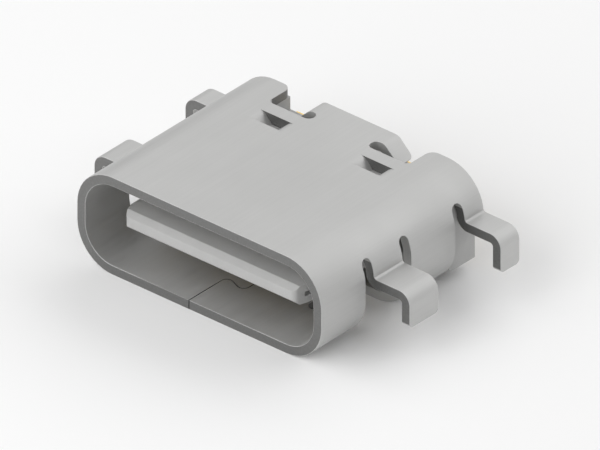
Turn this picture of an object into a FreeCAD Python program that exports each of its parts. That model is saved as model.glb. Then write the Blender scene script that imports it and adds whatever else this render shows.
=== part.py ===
import FreeCAD, Part
import math
import os
import re
import Sketcher

# USB-C board socket, sunk type: a folded steel shell with four legs that drop through the board,
# round a moulded core that holds sixteen contacts.
# X runs to the right seen from the mouth, Y runs back into the socket and Z runs up.
# The origin is the centre of the mouth, in the plane of the shell's front edge.
# Every size is in millimetres, and every angle in degrees.

SIZES = [
    ("ShellWidth", 8.94, "outside width of the shell"),
    ("ShellHeight", 3.16, "outside height of the shell"),
    ("ShellDepth", 6.87, "front edge to rear edge of the shell"),
    ("Wall", 0.30, "thickness of the shell's sheet"),
    ("SideFlat", 0.56, "flat height of the shell's sides between its round corners"),
    ("SeamGap", 0.03, "hairline between the two edges of the folded sheet"),
    ("SeamLeft", -0.38, "X of the seam at the mouth and at the rear"),
    ("SeamRight", 0.43, "X of the seam along the dovetail"),
    ("SeamFront", 1.49, "Y where the seam's front bend crosses over"),
    ("SeamLength", 2.62, "length of the dovetail between its two bends"),
    ("SeamSkew", 0.34, "how far each bend of the dovetail is undercut"),
    ("SeamBend", 0.19, "radius of the dovetail's bends"),
    ("EarInner", 2.56, "X of the inner side of the two rear ears"),
    ("EarLength", 1.00, "length of the rear ears behind the notch"),
    ("NotchCorner", 0.17, "radius in the notch's inner corner"),
    ("EarCorner", 0.27, "radius on the ears' rear corner"),
    ("FlapHalf", 1.24, "half width of the rear middle flap"),
    ("RoundFlat", 0.01, "flat left in the middle of a slot's round end"),
    ("WingWidth", 0.61, "width of the bent wings along Y"),
    ("WingLength", 0.746, "length of a wing from its bend to its tip"),
    ("WingAngle", 44.0, "angle of the wings below the top"),
    ("WingBend", 0.29, "outside radius of the wings' bend"),
    ("WingTip", 0.15, "radius on the wings' tip corners"),
    ("BridgeCentre", 1.842, "X of the middle of each pressed bridge"),
    ("BridgeFloor", 0.356, "flat length of a pressed bridge along X"),
    ("BridgeWidth", 0.51, "width of a pressed bridge along Y"),
    ("BridgeLead", 0.10, "front of the core's root to the front of a bridge"),
    ("BridgeSlit", 0.02, "underside of the top to the upper face of a pressed bridge"),
    ("BridgeAngle", 45.6, "slope of a bridge's two ends"),
    ("SlotWidth", 0.36, "width of the slots beside a front leg"),
    ("SlotTopGap", 0.61, "shell's top to the round tops of the slots"),
    ("RearSlotLead", 0.09, "front of the rear slots to the front of the core's block"),
    ("FrontLegStart", 2.23, "Y of the front face of the front legs"),
    ("FrontLegWidth", 1.21, "width of the front legs along Y"),
    ("RearLegWidth", 0.79, "width of the rear legs along Y"),
    ("FrontLegGap", 0.01, "board's upper face to the underside of a front leg"),
    ("RearLegGap", 0.065, "board's upper face to the underside of a rear leg"),
    ("LegRoot", 0.03, "straight root of a leg above its bend"),
    ("LegRootBend", 0.11, "radius of a leg's root on the upper side"),
    ("LegKnee", 0.40, "outside radius of a leg's knee"),
    ("LegReach", 1.30, "side of the shell to a leg's outer face"),
    ("LegDrop", 0.78, "board's upper face to a leg's tip"),
    ("LegTipCorner", 0.15, "radius on the corners of a leg's tip"),
    ("FrontOpening", 2.24, "side of the shell to the front openings' inner edge"),
    ("RearOpening", 1.72, "side of the shell to the rear openings' inner edge"),
    ("OpeningCorner", 0.25, "radius in the openings' inner corners"),
    ("FitGap", 0.02, "clearance of the moulded core in the shell"),
    ("BlockLength", 1.11, "length of the core's rear block"),
    ("BlockFoot", 0.10, "bevel on the block's lower front edge"),
    ("RecessGap", 0.04, "clearance of the recess in the block's top beside an ear"),
    ("RootLength", 0.96, "length of the core's root in front of the block"),
    ("RootStep", 0.10, "how far the root stands out beside the neck"),
    ("NeckLength", 0.75, "length of the neck in front of the root"),
    ("NeckStep", 0.06, "how far the neck stands out beside the tongue"),
    ("NeckHalf", 0.60, "half thickness of the neck"),
    ("CoreCorner", 0.20, "radius along the root's and the neck's edges"),
    ("TongueSetback", 0.44, "shell's front edge to the tongue's front"),
    ("TongueHalf", 0.30, "half thickness of the tongue's plastic"),
    ("TongueNose", 0.15, "half height of the tongue's flat front"),
    ("NoseDepth", 0.173, "depth of the chamfers on the tongue's front"),
    ("TongueRim", 0.31, "side of a contact carrier to the tongue's side"),
    ("TongueTaper", 0.15, "how far the tongue narrows at each side of its front"),
    ("TongueCorner", 0.20, "radius of the tongue's front corners"),
    ("TongueShoulder", 0.42, "tongue's front to where it reaches its full width"),
    ("MidPlate", 0.15, "thickness of the steel plate in the tongue"),
    ("PlateProud", 0.105, "how far the steel plate stands out beside the tongue"),
    ("PlateSetback", 0.33, "tongue's front to the steel plate"),
    ("PlateCorner", 0.10, "radius of the steel plate's outer corners"),
    ("PlateEnd", 0.31, "steel plate's rear edge to the front of the core's block"),
    ("SideSlotLength", 0.38, "length of the slot in the tongue's side in front of the plate"),
    ("SideSlotDepth", 0.10, "depth of the slot in the tongue's side"),
    ("LatchSetback", 1.31, "tongue's front to the latch notch"),
    ("LatchLength", 1.00, "length of the latch notch"),
    ("LatchDepth", 0.36, "depth of the latch notch"),
    ("CarrierEdge", 0.055, "outer side of the last contact to the carrier's side"),
    ("CarrierSetback", 0.82, "tongue's front to the carriers"),
    ("CarrierEnd", 0.26, "carriers' rear edge to the front of the core's block"),
    ("CarrierBar", 0.90, "length of the carriers' thick rear bar"),
    ("CarrierCover", 0.10, "plastic of the neck over the carriers' thick rear bar"),
    ("GroundPlate", 0.12, "thickness of the two ground plates"),
    ("GroundInset", 0.40, "side of the neck to the side of a ground plate"),
    ("GroundLipGap", 0.07, "contacts' face to the tip of the ground plates' front lip"),
    ("GroundBend", 0.14, "outside radius of the ground plates' bends"),
    ("ContactThick", 0.15, "thickness of the contacts' strip"),
    ("ContactWidth", 0.25, "width of the contacts on the tongue"),
    ("ContactProud", 0.05, "how far the contacts stand out of the tongue"),
    ("ContactPitch", 0.50, "spacing of the contact places on the tongue"),
    ("ContactTip", 0.07, "bevel on a contact's front corners"),
    ("PowerSetback", 0.86, "tongue's front to the power contacts"),
    ("SignalSetback", 1.21, "tongue's front to the signal contacts"),
    ("FanLead", 0.20, "front of the neck to where the contacts start to spread"),
    ("FanLength", 1.10, "length over which the contacts spread"),
    ("StepLead", 0.04, "start of the step to the board plane, in front of the core's block"),
    ("StepAngle", 45.0, "slope of the step to the board plane"),
    ("StepBend", 0.10, "inside radius of the step's bends"),
    ("TailPitch", 0.40, "spacing of the tails at the rear"),
    ("TailWidth", 0.28, "width of a tail"),
    ("TailLength", 0.90, "shell's rear edge to the tails' ends"),
    ("BoardPlane", 0.0, "height of the board's upper face"),
]

# Place of each contact on the tongue, and of its tail at the rear, counted in pitches from the middle.
# The letter is the row: a is the upper one and b is the lower one.
CONTACTS = [
    ("contact_a1_ground", 1, "-5.5", "-7.5"),
    ("contact_a4_power", 1, "-2.5", "-5.5"),
    ("contact_a5_sense", 1, "-1.5", "-2.5"),
    ("contact_a6_data", 1, "-0.5", "-0.5"),
    ("contact_a7_data", 1, "0.5", "0.5"),
    ("contact_a8_spare", 1, "1.5", "2.5"),
    ("contact_a9_power", 1, "2.5", "5.5"),
    ("contact_a12_ground", 1, "5.5", "7.5"),
    ("contact_b12_ground", -1, "-5.5", "-6.5"),
    ("contact_b9_power", -1, "-2.5", "-4.5"),
    ("contact_b8_spare", -1, "-1.5", "-3.5"),
    ("contact_b7_data", -1, "-0.5", "-1.5"),
    ("contact_b6_data", -1, "0.5", "1.5"),
    ("contact_b5_sense", -1, "1.5", "3.5"),
    ("contact_b4_power", -1, "2.5", "4.5"),
    ("contact_b1_ground", -1, "5.5", "6.5"),
]
POWER_PLACES = ("-5.5", "-2.5", "2.5", "5.5")
TOLERANCE = 1e-4

# Places worked out from the sizes, as expressions over the sheet.
SHELL_CORNER = "((ShellHeight - SideFlat) / 2)"
SHELL_SIDE = "(ShellWidth / 2)"
SHELL_TOP = "(ShellHeight / 2)"
SLOT_TOP = f"({SHELL_TOP} - SlotTopGap)"
FRONT_LEG_TOP = "(BoardPlane + FrontLegGap + Wall)"
REAR_LEG_TOP = "(BoardPlane + RearLegGap + Wall)"
LEG_ROOT = "(LegRootBend + LegRoot)"
LEG_OUTER = f"({SHELL_SIDE} + LegReach)"
LEG_TIP = "(BoardPlane - LegDrop)"
BLOCK_FRONT = "(ShellDepth - BlockLength)"
ROOT_FRONT = f"({BLOCK_FRONT} - RootLength)"
NECK_FRONT = f"({ROOT_FRONT} - NeckLength)"
CARRIER_SIDE = "(ContactPitch * 5.5 + ContactWidth / 2 + CarrierEdge)"
TONGUE_SIDE = f"({CARRIER_SIDE} + TongueRim)"
PLATE_HALF = f"({TONGUE_SIDE} + PlateProud)"
NECK_SIDE = f"({TONGUE_SIDE} + NeckStep)"
ROOT_SIDE = f"({NECK_SIDE} + RootStep)"
BRIDGE_DROP = "(Wall + BridgeSlit)"
ROOT_HALF = f"({SHELL_TOP} - Wall - {BRIDGE_DROP} - GroundPlate)"
LATCH_SIDE = f"({PLATE_HALF} - LatchDepth)"
LATCH_FRONT = "(TongueSetback + LatchSetback)"
LATCH_REAR = f"({LATCH_FRONT} + LatchLength)"
PLATE_FRONT = "(TongueSetback + PlateSetback)"
PLATE_REAR = f"({BLOCK_FRONT} - PlateEnd)"
CARRIER_REAR = f"({BLOCK_FRONT} - CarrierEnd)"
GROUND_SIDE = f"({NECK_SIDE} - GroundInset)"
CONTACT_FACE = "(TongueHalf + ContactProud)"
STEP_START = f"({BLOCK_FRONT} - StepLead)"

doc = FreeCAD.newDocument("usb_c_socket")
sheet = doc.addObject("Spreadsheet::Sheet", "Sizes")


def fill_sheet():
    """Writes one row for each size: its value, with the alias, and what it is."""
    for row, (name, number, meaning) in enumerate(SIZES, start=1):
        sheet.set(f"A{row}", str(number))
        sheet.setAlias(f"A{row}", name)
        sheet.set(f"B{row}", meaning)
    doc.recompute()


def value(expression):
    """The number that an expression over the sheet gives now."""
    return float(sheet.evalExpression(expression))


def bound(expression):
    """The same expression with the sheet's name before each alias, as another object needs it."""
    names = "|".join(name for name, _, _ in SIZES)
    return re.sub(rf"\b({names})\b", r"Sizes.\1", expression)


def sine(angle):
    return f"sin(({angle}) * 1deg)"


def cosine(angle):
    return f"cos(({angle}) * 1deg)"


def tangent(angle):
    return f"tan(({angle}) * 1deg)"


# Sketches

def new_sketch(body, role, offset="0"):
    """An empty sketch on one of the body's own origin planes, moved along the plane's normal."""
    sketch = body.newObject("Sketcher::SketchObject", body.Name + "_sketch")
    plane = next(f for f in body.Origin.OriginFeatures if f.Role == role)
    sketch.AttachmentSupport = [(plane, "")]
    sketch.MapMode = "FlatFace"
    sketch.AttachmentOffset = FreeCAD.Placement(FreeCAD.Vector(0, 0, value(offset)), FreeCAD.Rotation())
    if offset != "0":
        sketch.setExpression("AttachmentOffset.Base.z", bound(offset))
    return sketch


def fix(sketch, kind, places, expression):
    """Adds one dimension and binds it to the sheet."""
    index = sketch.addConstraint(Sketcher.Constraint(kind, *places, value(expression)))
    sketch.setExpression(f"Constraints[{index}]", bound(expression))


def pin(sketch, geometry, end, x, y):
    """Fixes one point of the sketch at x, y from its origin."""
    for kind, axis, expression in (("DistanceX", -2, x), ("DistanceY", -1, y)):
        if expression == "0":
            sketch.addConstraint(Sketcher.Constraint("PointOnObject", geometry, end, axis))
        else:
            fix(sketch, kind, (-1, 1, geometry, end), expression)


def rounding(before, corner, after, radius):
    """Tangent points and centre of the arc that rounds a corner."""
    back = (before - corner).normalize()
    ahead = (after - corner).normalize()
    half = back.getAngle(ahead) / 2
    reach = radius / math.tan(half)
    centre = corner + (back + ahead).normalize() * (radius / math.sin(half))
    return corner + back * reach, corner + ahead * reach, centre


def draw_outline(sketch, corners):
    """One closed outline. Each corner is (x, y), or (x, y, radius) where it is rounded."""
    points = [FreeCAD.Vector(value(c[0]), value(c[1]), 0) for c in corners]
    count = len(corners)
    arrive = list(points)
    leave = list(points)
    arcs = {}
    for i, corner in enumerate(corners):
        if len(corner) == 3:
            radius = value(corner[2])
            arrive[i], leave[i], centre = rounding(points[i - 1], points[i], points[(i + 1) % count], radius)
            turns_left = (arrive[i] - centre).cross(leave[i] - centre).z > 0
            first, last = (arrive[i], leave[i]) if turns_left else (leave[i], arrive[i])
            angles = [math.atan2(p.y - centre.y, p.x - centre.x) for p in (first, last)]
            circle = Part.Circle(centre, FreeCAD.Vector(0, 0, 1), radius)
            arc = sketch.addGeometry(Part.ArcOfCircle(circle, *angles), False)
            arcs[i] = (arc, 1 if turns_left else 2, 2 if turns_left else 1)
    lines = []
    for i in range(count):
        lines.append(sketch.addGeometry(Part.LineSegment(leave[i], arrive[(i + 1) % count]), False))
    for i, corner in enumerate(corners):
        before, after = lines[i - 1], lines[i]
        if i in arcs:
            arc, arc_in, arc_out = arcs[i]
            sketch.addConstraint(Sketcher.Constraint("Tangent", before, 2, arc, arc_in))
            sketch.addConstraint(Sketcher.Constraint("Tangent", after, 1, arc, arc_out))
            fix(sketch, "Radius", (arc,), corner[2])
            mark = sketch.addGeometry(Part.Point(points[i]), True)
            sketch.addConstraint(Sketcher.Constraint("PointOnObject", mark, 1, before))
            sketch.addConstraint(Sketcher.Constraint("PointOnObject", mark, 1, after))
            pin(sketch, mark, 1, corner[0], corner[1])
        else:
            sketch.addConstraint(Sketcher.Constraint("Coincident", before, 2, after, 1))
            pin(sketch, after, 1, corner[0], corner[1])


# Features

def new_body(label):
    body = doc.addObject("PartDesign::Body", label)
    body.Label = label
    return body


def extrude(body, kind, sketch, length, towards):
    """A pad or pocket of the sketch, along the sketch's normal (towards 1) or against it (towards -1)."""
    before = body.Shape.Volume if body.Shape and not body.Shape.isNull() else 0.0
    feature = body.newObject("PartDesign::" + kind, f"{body.Name}_{kind.lower()}")
    feature.Profile = sketch
    feature.Length = value(length)
    feature.setExpression("Length", bound(length))
    feature.Reversed = (towards < 0) == (kind == "Pad")
    feature.Refine = True
    doc.recompute()
    change = body.Shape.Volume - before
    if (change <= 0) if kind == "Pad" else (change >= 0):
        raise RuntimeError(f"{feature.Label} changed nothing")
    if not body.Shape.isValid():
        raise RuntimeError(f"{feature.Label} spoilt its body")
    return feature


def pad(body, role, corners, start, length, towards=1):
    """Adds a prism of the outline, which starts at the given distance along the plane's normal."""
    sketch = new_sketch(body, role, start)
    draw_outline(sketch, corners)
    return extrude(body, "Pad", sketch, length, towards)


def pocket(body, role, corners, start, length, towards=-1):
    """Cuts a prism of the outline, which starts at the given distance along the plane's normal."""
    sketch = new_sketch(body, role, start)
    draw_outline(sketch, corners)
    return extrude(body, "Pocket", sketch, length, towards)


def round_edges(body, radius, wanted):
    """Rounds the edges that the test picks out of the body's present shape."""
    tip = body.Tip
    names = [f"Edge{i}" for i, edge in enumerate(tip.Shape.Edges, start=1) if wanted(edge)]
    if not names:
        raise RuntimeError(f"{body.Label} has no edge to round")
    fillet = body.newObject("PartDesign::Fillet", body.Name + "_fillet")
    fillet.Base = (tip, names)
    fillet.Radius = value(radius)
    fillet.setExpression("Radius", bound(radius))
    doc.recompute()


def mirrored(side, corners):
    """The outline on the right (side 1) or on the left (side -1) of the middle plane."""
    if side > 0:
        return corners
    return [(f"-({c[0]})", *c[1:]) for c in corners]


def box_outline(low_x, low_y, high_x, high_y):
    return [(low_x, low_y), (high_x, low_y), (high_x, high_y), (low_x, high_y)]


# The shell

def arc_x(radius, height):
    """X on a corner arc of the shell at a height between its flat side and its top."""
    return f"({SHELL_SIDE} - {SHELL_CORNER} + sqrt(({radius})^2 - ({height} - SideFlat / 2)^2))"


def shell_tube(body):
    """The closed tube, before anything is cut: the outer outline less the inner one."""
    sketch = new_sketch(body, "XZ_Plane")
    for inset in ("0", "Wall"):
        x = f"({SHELL_SIDE} - {inset})"
        z = f"({SHELL_TOP} - {inset})"
        r = f"{SHELL_CORNER} - {inset}"
        draw_outline(sketch, [(f"-{x}", f"-{z}", r), (x, f"-{z}", r), (x, z, r), (f"-{x}", z, r)])
    extrude(body, "Pad", sketch, "ShellDepth", -1)


def seam(body):
    """The dovetailed line where the two edges of the sheet meet in the bottom."""
    g = "SeamGap / 2"
    slope = "SeamSkew / (SeamRight - SeamLeft)"
    k = f"({slope} + sqrt(1 + ({slope})^2)) * {g}"
    front = "(SeamFront + SeamSkew / 2)"
    front_out = "(SeamFront - SeamSkew / 2)"
    rear = "(SeamFront + SeamLength - SeamSkew / 2)"
    rear_out = "(SeamFront + SeamLength + SeamSkew / 2)"
    wide = f"SeamBend + {g}"
    narrow = f"SeamBend - {g}"
    outline = [
        (f"SeamLeft - {g}", "0"),
        (f"SeamLeft - {g}", f"{front} + {k}", wide),
        (f"SeamRight - {g}", f"{front_out} + {k}", narrow),
        (f"SeamRight - {g}", f"{rear_out} - {k}", narrow),
        (f"SeamLeft - {g}", f"{rear} - {k}", wide),
        (f"SeamLeft - {g}", "ShellDepth"),
        (f"SeamLeft + {g}", "ShellDepth"),
        (f"SeamLeft + {g}", f"{rear} + {k}", narrow),
        (f"SeamRight + {g}", f"{rear_out} + {k}", wide),
        (f"SeamRight + {g}", f"{front_out} - {k}", wide),
        (f"SeamLeft + {g}", f"{front} - {k}", narrow),
        (f"SeamLeft + {g}", "0"),
    ]
    pocket(body, "XY_Plane", outline, "-ShellHeight / 4", "ShellHeight / 4")


def rear_notch(body, side):
    """The notch between the middle flap and an ear, with a round relief at the wing's root."""
    front = "ShellDepth - EarLength"
    wing_front = "ShellDepth - WingWidth"
    past = "ShellDepth + Wall"
    relief = "((EarLength - WingWidth - RoundFlat) / 2)"
    outline = [
        ("EarInner", front, "NotchCorner"),
        ("EarInner", "ShellDepth", "EarCorner"),
        ("EarInner + EarCorner * 2", "ShellDepth"),
        ("EarInner + EarCorner * 2", past),
        ("FlapHalf", past),
        ("FlapHalf", wing_front),
        (f"FlapHalf - RoundFlat - {relief}", wing_front, relief),
        (f"FlapHalf - RoundFlat - {relief}", front, relief),
    ]
    pocket(body, "XY_Plane", mirrored(side, outline), SHELL_TOP, "Wall * 2")


def wing(body, side):
    """The strip beside the middle flap, bent down to hold the core."""
    top = SHELL_TOP
    corner = f"(FlapHalf + WingBend * {tangent('WingAngle / 2')})"
    inner = f"{corner} - Wall * {tangent('WingAngle / 2')}"
    tip_x = f"({corner} + WingLength * {cosine('WingAngle')})"
    tip_z = f"({top} - WingLength * {sine('WingAngle')})"
    outline = [
        ("FlapHalf - WingBend", top),
        (corner, top, "WingBend"),
        (tip_x, tip_z),
        (f"{tip_x} - Wall * {sine('WingAngle')}", f"{tip_z} - Wall * {cosine('WingAngle')}"),
        (inner, f"{top} - Wall"),
        ("FlapHalf - WingBend", f"{top} - Wall"),
    ]
    pad(body, "XZ_Plane", mirrored(side, outline), "-(ShellDepth - WingWidth)", "WingWidth", -1)


def bridge_half():
    """Half length of a pressed bridge, from its middle to the end of its window."""
    return (f"(BridgeFloor / 2 + {BRIDGE_DROP} / {tangent('BridgeAngle')}"
            f" + Wall * {tangent('BridgeAngle / 2')})")


def pressed_bridge(body, side):
    """A strip of the top, sheared along both sides and pressed down onto the core."""
    top = SHELL_TOP
    lift = f"Wall * {tangent('BridgeAngle / 2')}"
    left = f"(BridgeCentre - {bridge_half()})"
    right = f"(BridgeCentre + {bridge_half()})"
    front = f"({ROOT_FRONT} + BridgeLead)"
    window = box_outline(left, front, right, f"{front} + BridgeWidth")
    pocket(body, "XY_Plane", mirrored(side, window), top, "Wall * 2")
    floor_left = "BridgeCentre - BridgeFloor / 2"
    floor_right = "BridgeCentre + BridgeFloor / 2"
    strip = [
        (f"{left} - Wall", top),
        (f"{left} + {lift}", top, "Wall"),
        (floor_left, f"{top} - {BRIDGE_DROP}"),
        (floor_right, f"{top} - {BRIDGE_DROP}"),
        (f"{right} - {lift}", top, "Wall"),
        (f"{right} + Wall", top),
        (f"{right} + Wall", f"{top} - Wall"),
        (right, f"{top} - Wall"),
        (f"{floor_right} + {lift}", f"{top} - {BRIDGE_DROP} - Wall", "Wall"),
        (f"{floor_left} - {lift}", f"{top} - {BRIDGE_DROP} - Wall", "Wall"),
        (left, f"{top} - Wall"),
        (f"{left} - Wall", f"{top} - Wall"),
    ]
    pad(body, "XZ_Plane", mirrored(side, strip), f"-({front})", "BridgeWidth", -1)


def leg_opening(body, side, front, leg_front, leg_rear, rear, top, reach):
    """The hole that a leg is bent out of, with a round-topped slot beside the leg."""
    below = "-ShellHeight"
    root = f"({top} + {LEG_ROOT})"
    slot_round = f"(({leg_front}) - ({front}) - RoundFlat) / 2"
    outline = [
        (front, below),
        (front, SLOT_TOP, slot_round),
        (leg_front, SLOT_TOP, slot_round),
        (leg_front, root),
        (leg_rear, root),
    ]
    if rear != leg_rear:
        outline += [(leg_rear, SLOT_TOP, slot_round), (rear, SLOT_TOP, slot_round)]
    outline += [(rear, below)]
    start = SHELL_SIDE if side > 0 else f"-{SHELL_SIDE}"
    pocket(body, "YZ_Plane", outline, start, reach, -side)


def leg(body, side, front, width, top):
    """A leg: out of the side wall, over the board's edge and down through its hole."""
    root = f"({top} + {LEG_ROOT})"
    outer = arc_x(SHELL_CORNER, root)
    inner = arc_x(f"{SHELL_CORNER} - Wall", root)
    outline = [
        (outer, root),
        (outer, top, "LegRootBend"),
        (LEG_OUTER, top, "LegKnee"),
        (LEG_OUTER, LEG_TIP),
        (f"{LEG_OUTER} - Wall", LEG_TIP),
        (f"{LEG_OUTER} - Wall", f"{top} - Wall", "LegKnee - Wall"),
        (inner, f"{top} - Wall", "LegRootBend + Wall"),
        (inner, root),
    ]
    pad(body, "XZ_Plane", mirrored(side, outline), f"-({front})", width, -1)


def is_leg_tip(edge):
    """Short edges across the sheet at the very tip of a leg."""
    ends = [vertex.Point for vertex in edge.Vertexes]
    at_tip = all(abs(p.z - value(LEG_TIP)) < TOLERANCE for p in ends)
    return at_tip and len(ends) == 2 and abs(abs(ends[0].x - ends[1].x) - value("Wall")) < TOLERANCE


def is_opening_corner(edge):
    """Upright edges of the bottom in the inner corners of the leg openings."""
    ends = [vertex.Point for vertex in edge.Vertexes]
    if len(ends) != 2 or abs(abs(ends[0].z - ends[1].z) - value("Wall")) > TOLERANCE:
        return False
    inner = [value(f"{SHELL_SIDE} - {reach}") for reach in ("FrontOpening", "RearOpening")]
    at_corner = any(all(abs(abs(p.x) - x) < TOLERANCE for p in ends) for x in inner)
    return at_corner and ends[0].y < value("ShellDepth") - TOLERANCE


def is_wing_tip(edge):
    """Short edges across the sheet at the end of a wing."""
    ends = [vertex.Point for vertex in edge.Vertexes]
    if len(ends) != 2 or abs((ends[0] - ends[1]).Length - value("Wall")) > TOLERANCE:
        return False
    corner = value(f"FlapHalf + WingBend * {tangent('WingAngle / 2')}")
    tip_x = corner + value(f"WingLength * {cosine('WingAngle')}")
    tip_z = value(f"{SHELL_TOP} - WingLength * {sine('WingAngle')}")
    return any(abs(abs(p.x) - tip_x) < TOLERANCE and abs(p.z - tip_z) < TOLERANCE for p in ends)


def make_shell():
    body = new_body("shell")
    shell_tube(body)
    seam(body)
    front_rear = "(FrontLegStart + FrontLegWidth)"
    rear_front = "(ShellDepth - RearLegWidth)"
    for side in (1, -1):
        rear_notch(body, side)
        wing(body, side)
        pressed_bridge(body, side)
        leg_opening(body, side, "FrontLegStart - SlotWidth", "FrontLegStart", front_rear,
                    f"{front_rear} + SlotWidth", FRONT_LEG_TOP, "FrontOpening")
        leg_opening(body, side, f"{BLOCK_FRONT} - RearSlotLead", rear_front, "ShellDepth",
                    "ShellDepth", REAR_LEG_TOP, "RearOpening")
        leg(body, side, "FrontLegStart", "FrontLegWidth", FRONT_LEG_TOP)
        leg(body, side, rear_front, "RearLegWidth", REAR_LEG_TOP)
    round_edges(body, "OpeningCorner", is_opening_corner)
    round_edges(body, "LegTipCorner", is_leg_tip)
    round_edges(body, "WingTip", is_wing_tip)
    return body


# The moulded core

def wing_rest():
    """Height at which the lowest edge of a bent wing ends."""
    return f"({SHELL_TOP} - WingLength * {sine('WingAngle')} - Wall * {cosine('WingAngle')})"


def rear_block(body):
    """The block that closes the rear of the shell, recessed at the top for the wings."""
    corner = f"{SHELL_CORNER} - Wall"
    x = arc_x(corner, f"({REAR_LEG_TOP} + {LEG_ROOT})")
    z = f"({SHELL_TOP} - Wall - FitGap)"
    recess = "(EarInner + RecessGap)"
    outline = [
        (f"-{x}", f"-{z}"),
        (x, f"-{z}"),
        (x, z, corner),
        (recess, z),
        (recess, wing_rest()),
        (f"-{recess}", wing_rest()),
        (f"-{recess}", z),
        (f"-{x}", z, corner),
    ]
    pad(body, "XZ_Plane", outline, f"-{BLOCK_FRONT}", "BlockLength", -1)
    bevel = [
        (BLOCK_FRONT, f"-{z}"),
        (f"{BLOCK_FRONT} + BlockFoot", f"-{z}"),
        (BLOCK_FRONT, f"-{z} + BlockFoot"),
    ]
    pocket(body, "YZ_Plane", bevel, SHELL_SIDE, "ShellWidth")


def stepped_length(body, half_width, half_height, start, length):
    """One step of the core in front of the block, rounded along its edges."""
    outline = [
        (f"-{half_width}", f"-{half_height}", "CoreCorner"),
        (half_width, f"-{half_height}", "CoreCorner"),
        (half_width, half_height, "CoreCorner"),
        (f"-{half_width}", half_height, "CoreCorner"),
    ]
    pad(body, "XZ_Plane", outline, f"-{start}", length, -1)


def tongue(body):
    """The flat tongue that enters the plug, notched for the plug's latches."""
    right = [
        (f"({TONGUE_SIDE} - TongueTaper)", "TongueSetback", "TongueCorner"),
        (TONGUE_SIDE, "TongueSetback + TongueShoulder"),
        (TONGUE_SIDE, LATCH_FRONT),
        (LATCH_SIDE, LATCH_FRONT),
        (LATCH_SIDE, LATCH_REAR),
        (TONGUE_SIDE, LATCH_REAR),
        (TONGUE_SIDE, NECK_FRONT),
    ]
    outline = right + mirrored(-1, right)[::-1]
    pad(body, "XY_Plane", outline, "-TongueHalf", "TongueHalf * 2")
    for up in ("", "-"):
        wedge = [
            ("TongueSetback", f"{up}TongueNose"),
            ("TongueSetback + NoseDepth", f"{up}TongueHalf"),
            ("TongueSetback", f"{up}TongueHalf"),
        ]
        pocket(body, "YZ_Plane", wedge, TONGUE_SIDE, f"{TONGUE_SIDE} * 2")


def side_slot(body, side):
    """The slot in the tongue's side that bares the edge of the steel plate."""
    slot = box_outline(PLATE_FRONT, "-MidPlate / 2", f"{PLATE_FRONT} + SideSlotLength", "MidPlate / 2")
    start = TONGUE_SIDE if side > 0 else f"-{TONGUE_SIDE}"
    pocket(body, "YZ_Plane", slot, start, "SideSlotDepth", -side)


def make_core_blank():
    """The outer form of the second moulding, before what it is moulded round is taken out."""
    body = new_body("core_blank")
    rear_block(body)
    stepped_length(body, ROOT_SIDE, ROOT_HALF, ROOT_FRONT, "RootLength")
    stepped_length(body, NECK_SIDE, "NeckHalf", NECK_FRONT, "NeckLength")
    tongue(body)
    side_slot(body, 1)
    side_slot(body, -1)
    return body


def make_carrier_blank(label, up):
    """The first moulding, which holds one row of contacts: a thin plate with a thick rear bar."""
    body = new_body(label)
    plate = "MidPlate / 2" if up > 0 else "-MidPlate / 2"
    front = "TongueSetback + CarrierSetback"
    bar_front = f"({CARRIER_REAR} - CarrierBar)"
    outline = box_outline(f"-{CARRIER_SIDE}", front, CARRIER_SIDE, CARRIER_REAR)
    pad(body, "XY_Plane", outline, plate, "TongueHalf - MidPlate / 2", up)
    bar = box_outline(f"-{CARRIER_SIDE}", bar_front, CARRIER_SIDE, CARRIER_REAR)
    pad(body, "XY_Plane", bar, plate, "NeckHalf - CarrierCover - MidPlate / 2", up)
    return body


# Metal in the core

def make_mid_plate():
    """The steel plate between the two rows, whose notched sides catch the plug's latches."""
    body = new_body("mid_plate")
    slot_floor = f"({TONGUE_SIDE} - SideSlotDepth)"
    slot_end = f"{PLATE_FRONT} + SideSlotLength"
    right = [
        (slot_floor, PLATE_FRONT),
        (slot_floor, slot_end),
        (PLATE_HALF, slot_end, "PlateCorner"),
        (PLATE_HALF, LATCH_FRONT),
        (LATCH_SIDE, LATCH_FRONT),
        (LATCH_SIDE, LATCH_REAR),
        (PLATE_HALF, LATCH_REAR),
        (PLATE_HALF, NECK_FRONT),
        (CARRIER_SIDE, NECK_FRONT),
        (CARRIER_SIDE, PLATE_REAR),
    ]
    outline = right + mirrored(-1, right)[::-1]
    pad(body, "XY_Plane", outline, "-MidPlate / 2", "MidPlate")
    return body


def make_ground_plate(label, up):
    """A bent plate over the neck and the root, which touches the plug's ground springs."""
    body = new_body(label)
    sign = "" if up > 0 else "-"
    thick = "GroundPlate"
    lip = f"({CONTACT_FACE} + GroundLipGap)"
    profile = [
        (NECK_FRONT, lip),
        (NECK_FRONT, "NeckHalf"),
        (ROOT_FRONT, "NeckHalf"),
        (ROOT_FRONT, ROOT_HALF),
        (BLOCK_FRONT, ROOT_HALF),
        (BLOCK_FRONT, f"({ROOT_HALF} + {thick})"),
        (f"{ROOT_FRONT} - {thick}", f"({ROOT_HALF} + {thick})", "GroundBend"),
        (f"{ROOT_FRONT} - {thick}", f"(NeckHalf + {thick})"),
        (f"{NECK_FRONT} - {thick}", f"(NeckHalf + {thick})", "GroundBend"),
        (f"{NECK_FRONT} - {thick}", lip),
    ]
    outline = [(c[0], f"{sign}{c[1]}", *c[2:]) for c in profile]
    pad(body, "YZ_Plane", outline, f"-{GROUND_SIDE}", f"{GROUND_SIDE} * 2")
    return body


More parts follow.
